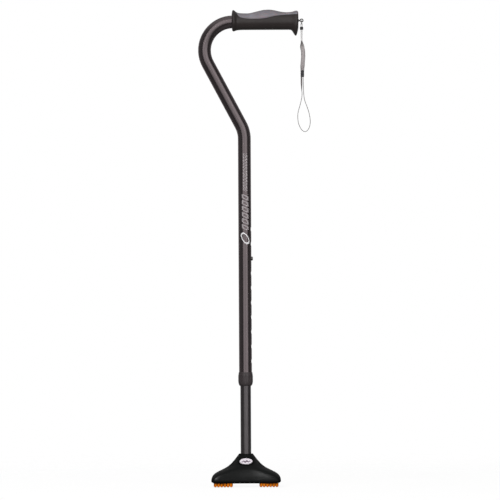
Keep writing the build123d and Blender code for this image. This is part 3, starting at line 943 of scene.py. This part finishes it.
def ribbon():
    """One continuous band: doubled head with a twist, keeper, hand loop."""
    left = [(99.55, 711), (99.5, 700), (99.8, 688), (100.2, 676), (97.6, 663),
            (93.9, 650), (92.7, 641), (93.6, 630), (97.4, 620), (102.0, 615), (105.4, 614.0)]
    right = [(108.8, 615.6), (112.2, 620.5), (114.2, 629), (113.4, 641), (109.6, 655),
             (105.2, 667), (103.4, 677), (102.9, 688), (102.6, 700), (102.45, 711)]
    loop = catmull([(x, z) for x, z in left + right], 7)
    head_mid = smooth_curve([(711, 101.0), (722, 101.1), (731, 101.6), (745, 102.6), (752, 102.4),
                             (760, 101.2), (771.5, 100.2)])
    head_z = np.linspace(HEAD_LOW, HEAD_TOP, 56)
    centres, normals, widths = [], [], []
    for sign, order in ((1, head_z[::-1]), (-1, head_z)):
        for z in order:
            angle = math.pi / 2 * twist(z)
            width_dir = np.array([math.cos(angle), math.sin(angle), 0])
            normal = np.array([-math.sin(angle), math.cos(angle), 0])
            gap = 0.62 + 0.45 * max(0.0, math.sin(math.pi * (z - 722) / 50))
            gap += 0.82 * (1 - float(smoothstep(z, HEAD_LOW, HEAD_LOW + 10)))
            mid = np.array([float(head_mid(z)), 0, z])
            side = 1 if sign > 0 else -1
            centres.append(mid + normal * gap * side)
            normals.append(normal * side)
            widths.append(width_dir * side)
        if sign > 0:
            for i in range(len(loop)):
                a, b = loop[max(0, i - 1)], loop[min(len(loop) - 1, i + 1)]
                d = (b - a) / np.linalg.norm(b - a)
                flat = np.array([d[1], 0, -d[0]])
                first = i < len(loop) / 2
                yaw = 0.33 * float(smoothstep(loop[i][1], 680, 700)) if first else 0.0
                centres.append(np.array([loop[i][0], 0, loop[i][1]]))
                normals.append(flat * math.cos(yaw) + np.array([0, math.sin(yaw), 0]))
                widths.append(np.array([0, math.cos(yaw), 0]) - flat * math.sin(yaw))
    return np.array(centres), np.array(normals), np.array(widths)


def align_frames(normals, widths):
    """Flip frames so that each follows the one before it."""
    for i in range(1, len(normals)):
        if np.dot(widths[i], widths[i - 1]) < 0:
            widths[i] *= -1
        if np.dot(normals[i], normals[i - 1]) < 0:
            normals[i] *= -1
    return normals, widths


def strap_webbing():
    """Skin swept along the ribbon, with a slightly thicker selvedge each side."""
    centres, normals, widths = ribbon()
    normals, widths = align_frames(normals, widths)
    length = np.concatenate([[0], np.cumsum(np.linalg.norm(np.diff(centres, axis=0), axis=1))])
    section = []
    across = 14
    for k in range(across + 1):
        v = k / across
        edge = abs(2 * v - 1)
        selvedge = 0.82 + 0.18 * smoothstep(edge, 0.7, 0.9)
        rounding = math.sqrt(max(0.0, 1 - max(0.0, (edge - 0.93) / 0.07) ** 2))
        section.append((v, WEBBING_HALF_THICK * selvedge * rounding))
    outline = [(v, t) for v, t in section] + [(v, -t) for v, t in section[::-1][1:-1]]
    rings, uvs = [], []
    for c, nrm, w, s in zip(centres, normals, widths, length):
        ring = []
        for v, t in outline:
            ring.append(tuple(c + w * (2 * v - 1) * WEBBING_HALF_WIDTH + nrm * float(t)))
            uvs.append((s * MM, v))
        rings.append(ring)
    n = len(outline)
    faces = quads(len(rings), n)
    last = (len(rings) - 1) * n
    faces.append(tuple(range(n))[::-1])
    faces.append(tuple(last + k for k in range(n)))
    return make_object("strap_webbing", joined(rings), faces, MATERIALS["webbing"], 60, uvs)


def tube_along(name, points, radius, mat, count=14):
    """Round cord along points in the XZ plane."""
    rings = []
    for i, p in enumerate(points):
        a, b = points[max(0, i - 1)], points[min(len(points) - 1, i + 1)]
        d = (b - a) / np.linalg.norm(b - a)
        side = np.array([0, 1.0, 0])
        other = np.cross(d, side)
        ring = []
        for t in np.linspace(0, 2 * math.pi, count, endpoint=False):
            ring.append(tuple(p + (side * math.cos(t) + other * math.sin(t)) * radius))
        rings.append(ring)
    return capped_rings(name, rings, mat, 60)


def strap_cord():
    """Cord over the ring, its two strands drawn together below the bead."""
    top, bottom, wide, narrow = 799.9, 769, 1.2, 0.85

    def strand(side, z):
        spread = narrow + (wide - narrow) * float(smoothstep(z, 794, 799))
        return np.array([EYE[0] + side * spread, 0, z])

    pts = [strand(-1, z) for z in np.linspace(bottom, top, 26)]
    for a in np.linspace(math.pi, 0, 13)[1:-1]:
        pts.append(np.array([EYE[0] + wide * math.cos(a), 0, top + wide * math.sin(a)]))
    pts += [strand(1, z) for z in np.linspace(top, bottom, 26)]
    return tube_along("strap_cord_skin", pts, CORD_R, MATERIALS["cord"])


def strap_bead():
    """Small ring-shaped bead gathering the two strands."""
    profile = [(1.85, 790.3), (2.2, 790.15), (2.55, 790.6), (2.75, 791.5), (2.8, 792.8),
               (2.75, 794.1), (2.55, 795.0), (2.2, 795.45), (1.85, 795.3)]
    fine = catmull(profile, 4)
    rings = [[(EYE[0] + x, y, z) for x, y, z in circle(float(r), float(z), 40)]
             for r, z in fine]
    return loop_of_rings("strap_bead_skin", rings, MATERIALS["keeper"], True, 50)


def rounded_box_ring(half_x, half_y, corner, z, per=8):
    """Level ring round the keeper: a rectangle with rounded corners."""
    ring = []
    for qx, qy, start in ((1, 1, 0), (-1, 1, 90), (-1, -1, 180), (1, -1, 270)):
        for k in range(per):
            a = math.radians(start + 90 * k / (per - 1))
            ring.append((KEEPER_X + qx * (half_x - corner) + corner * math.cos(a),
                         qy * (half_y - corner) + corner * math.sin(a), z))
    return ring


def strap_keeper():
    """Moulded keeper: soft-edged rectangular sleeve with two grip ridges."""
    rings = []
    for z, grow in ((708.7, -0.75), (708.9, -0.35), (709.4, -0.08), (710.2, 0.0),
                    (711.6, 0.0), (711.9, -0.25), (712.4, -0.25), (712.7, 0.0),
                    (715.9, 0.0), (716.2, -0.25), (716.7, -0.25), (717.0, 0.0),
                    (718.4, 0.0), (719.2, -0.08), (719.7, -0.35), (719.9, -0.75)):
        half_x, half_y, corner = KEEPER_OUTER
        rings.append(rounded_box_ring(half_x + grow, half_y + grow, corner + min(grow, 0) * 0.5, z))
    for z, grow in ((719.8, 0.15), (719.3, 0.0), (709.3, 0.0), (708.8, 0.15)):
        half_x, half_y, corner = KEEPER_INNER
        rings.append(rounded_box_ring(half_x + grow, half_y + grow, corner, z))
    return loop_of_rings("strap_keeper_skin", rings, MATERIALS["keeper"], True, 40)


# --------------------------------------------------------------------- staging


def area_light(name, place_at, aim, size, power):
    """White panel that lights the pieces without showing in their reflections."""
    data = bpy.data.lights.new(name, "AREA")
    data.shape = "RECTANGLE"
    data.size, data.size_y = size
    data.energy = power
    obj = bpy.data.objects.new(name, data)
    bpy.context.scene.collection.objects.link(obj)
    obj.location = place_at
    obj.rotation_mode = "QUATERNION"
    obj.rotation_quaternion = (Vector(aim) - Vector(place_at)).to_track_quat("-Z", "Y")
    obj.visible_glossy = False
    return obj


# (middle, flat half width, fade) in turn about Z and in rise, radians; then radiance
SOFT_BOXES = (
    ((-0.28, 0.17, 0.28), (0.34, 0.30, 0.42), 0.58),
    ((0.50, 0.22, 0.28), (0.34, 0.30, 0.42), 0.62),
    ((0.09, 0.08, 0.14), (0.34, 0.30, 0.42), 0.08),
    ((1.60, 0.14, 0.25), (0.20, 0.50, 0.40), 0.05),
    ((-1.55, 0.30, 0.45), (0.20, 0.50, 0.40), 0.055),
    ((2.34, 0.14, 0.18), (0.20, 0.50, 0.40), 0.29),
    ((-2.34, 0.14, 0.18), (0.20, 0.50, 0.40), 0.27),
    ((3.14, 0.18, 0.14), (0.25, 0.60, 0.40), 0.17),
    ((-3.14, 0.18, 0.14), (0.25, 0.60, 0.40), 0.17),
)
DARK_LEVEL = 0.012
CEILING = 0.24
BACK_WALL = 0.05


def studio_world():
    """White ground to the camera; soft boxes and dark flanks to everything else."""
    world = bpy.data.worlds.new("studio")
    bpy.context.scene.world = world
    world.use_nodes = True
    world.node_tree.nodes.clear()
    s = Tree(world.node_tree)

    def band(value, middle, flat, fade):
        away = s.math("ABSOLUTE", s.math("SUBTRACT", value, middle))
        return s.remap(away, flat + fade, flat)

    def background(colour, strength):
        made = s.node("ShaderNodeBackground")
        made.inputs["Color"].default_value = (*colour, 1)
        s.put(made.inputs["Strength"], strength)
        return made.outputs[0]

    coord = s.node("ShaderNodeTexCoord")
    split = s.node("ShaderNodeSeparateXYZ")
    s.link(coord.outputs["Generated"], split.inputs[0])
    x, y, z = split.outputs
    turn = s.math("ARCTAN2", x, s.math("MULTIPLY", y, -1.0))
    rise = s.math("ARCSINE", z)
    level = DARK_LEVEL
    for across, up, power in SOFT_BOXES:
        lobe = s.math("MULTIPLY", band(turn, *across), band(rise, *up))
        level = s.math("ADD", s.math("MULTIPLY", lobe, power), level)
    level = s.math("ADD", level, s.remap(z, 0.55, 0.95, 0.0, CEILING))
    behind = s.math("MULTIPLY", s.remap(y, 0.55, 0.92, 0.0, BACK_WALL),
                    s.remap(z, -0.5, 0.0, 0.2, 1.0))
    level = s.math("ADD", level, behind)
    soft = background((1.0, 0.985, 0.98), level)
    white = background((1, 1, 1), 1.0)
    path = s.node("ShaderNodeLightPath")
    blend = s.node("ShaderNodeMixShader")
    for socket, value in zip(blend.inputs, (path.outputs["Is Camera Ray"], soft, white)):
        s.link(value, socket)
    out = s.node("ShaderNodeOutputWorld")
    s.link(blend.outputs[0], out.inputs["Surface"])


FLOOR_GLOW = 0.91
FLOOR_FADE = (0.35, 1.5)


def studio_floor():
    """Pale lit table that fades into the white ground away from the object."""
    rings = [circle(r, 0.0, 96) for r in (1, 100, 250, 500, 900, 1600, 2600, 4000)]
    s = Shader("floor_pale")
    x, y = s.axis("X"), s.axis("Y")
    far = s.math("SQRT", s.math("ADD", s.math("POWER", x, 2.0), s.math("POWER", y, 2.0)))
    slow = s.noise(8, 2, 0.5)
    s.set(Base_Color=s.mix(slow, (0.10, 0.10, 0.10), (0.12, 0.12, 0.12)), Roughness=0.85)
    path = s.node("ShaderNodeLightPath")
    glow = s.math("MULTIPLY", path.outputs["Is Camera Ray"], FLOOR_GLOW)
    s.set(Specular_IOR_Level=0.1, Emission_Color=(1, 1, 1, 1), Emission_Strength=glow)
    s.set(Alpha=s.remap(far, *FLOOR_FADE, 1.0, 0.0))
    floor = loop_of_rings("studio_floor", rings, s.mat, False)
    floor.location.z = -0.0002


def studio_camera():
    """Long lens, square on from the side, span metres across a square picture."""
    span = 0.8658
    distance = 12.0
    roll = math.radians(-0.30)
    rise = math.radians(0.6)
    aim = Vector((0.0088, 0.0, 0.4095))
    data = bpy.data.cameras.new("camera")
    data.sensor_width = 36.0
    data.lens = data.sensor_width * distance / span
    data.clip_end = 100
    cam = bpy.data.objects.new("camera", data)
    bpy.context.scene.collection.objects.link(cam)
    back = Vector((0, -math.cos(rise), math.sin(rise)))
    cam.location = aim + back * distance
    cam.rotation_mode = "QUATERNION"
    cam.rotation_quaternion = (-back).to_track_quat("-Z", "Y") @ Quaternion((0, 0, 1), roll)
    bpy.context.scene.camera = cam


# ----------------------------------------------------------------------- build

dress_cad()

# The grip rides the upper shaft
place(grip_body(), "upper_shaft", "grip_body")
place(grip_pad(), "upper_shaft", "grip_gel_pad")

# Bell and badge pieces, baked in place in world space
bell_low, bell_high = bell_skins()
badge_boss, badge_plate = badge_pieces()
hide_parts("base_shell")
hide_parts("base_badge")
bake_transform(bell_low)
for piece in (bell_high, badge_boss, badge_plate):
    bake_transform(piece)

# Pods, nut and strap ride one body each again
for x_side, x_name in ((-1, "left"), (1, "right")):
    for y_side, y_name in ((-1, "front"), (1, "back")):
        node = f"foot_pod_{y_name}_{x_name}"
        skin = pod(f"{node}_skin", POD_X * x_side, POD_Y * y_side)
        place(skin, "base", node)

place(lock_nut(), "lock_grip", "lock_nut")
place(strap_webbing(), "strap", "strap_band")
place(strap_cord(), "strap", "strap_cord")
place(strap_bead(), "strap", "strap_bead")
place(strap_keeper(), "keeper", "strap_slider")

bpy.context.scene.view_settings.view_transform = "Standard"
studio_world()
studio_floor()
area_light("key", (-1.1, -2.0, 1.7), (0, 0, 0.4), (1.2, 1.6), 42)
area_light("fill", (1.4, -2.1, 0.6), (0, 0, 0.35), (1.0, 1.2), 22)
area_light("rim", (-1.0, 2.2, 1.8), (0, 0, 0.4), (1.2, 1.2), 20)
# A small light for the lower bell alone, kept off every other piece
sheen = area_light("base_sheen", (-0.42, -0.74, 0.55), (-0.02, -0.03, 0.02), (0.4, 0.4), 3.6)
sheen.visible_glossy = True
sheen.data.use_shadow = False
lit = bpy.data.collections.new("base_only")
lit.objects.link(bell_low)
sheen.light_linking.receiver_collection = lit
studio_camera()
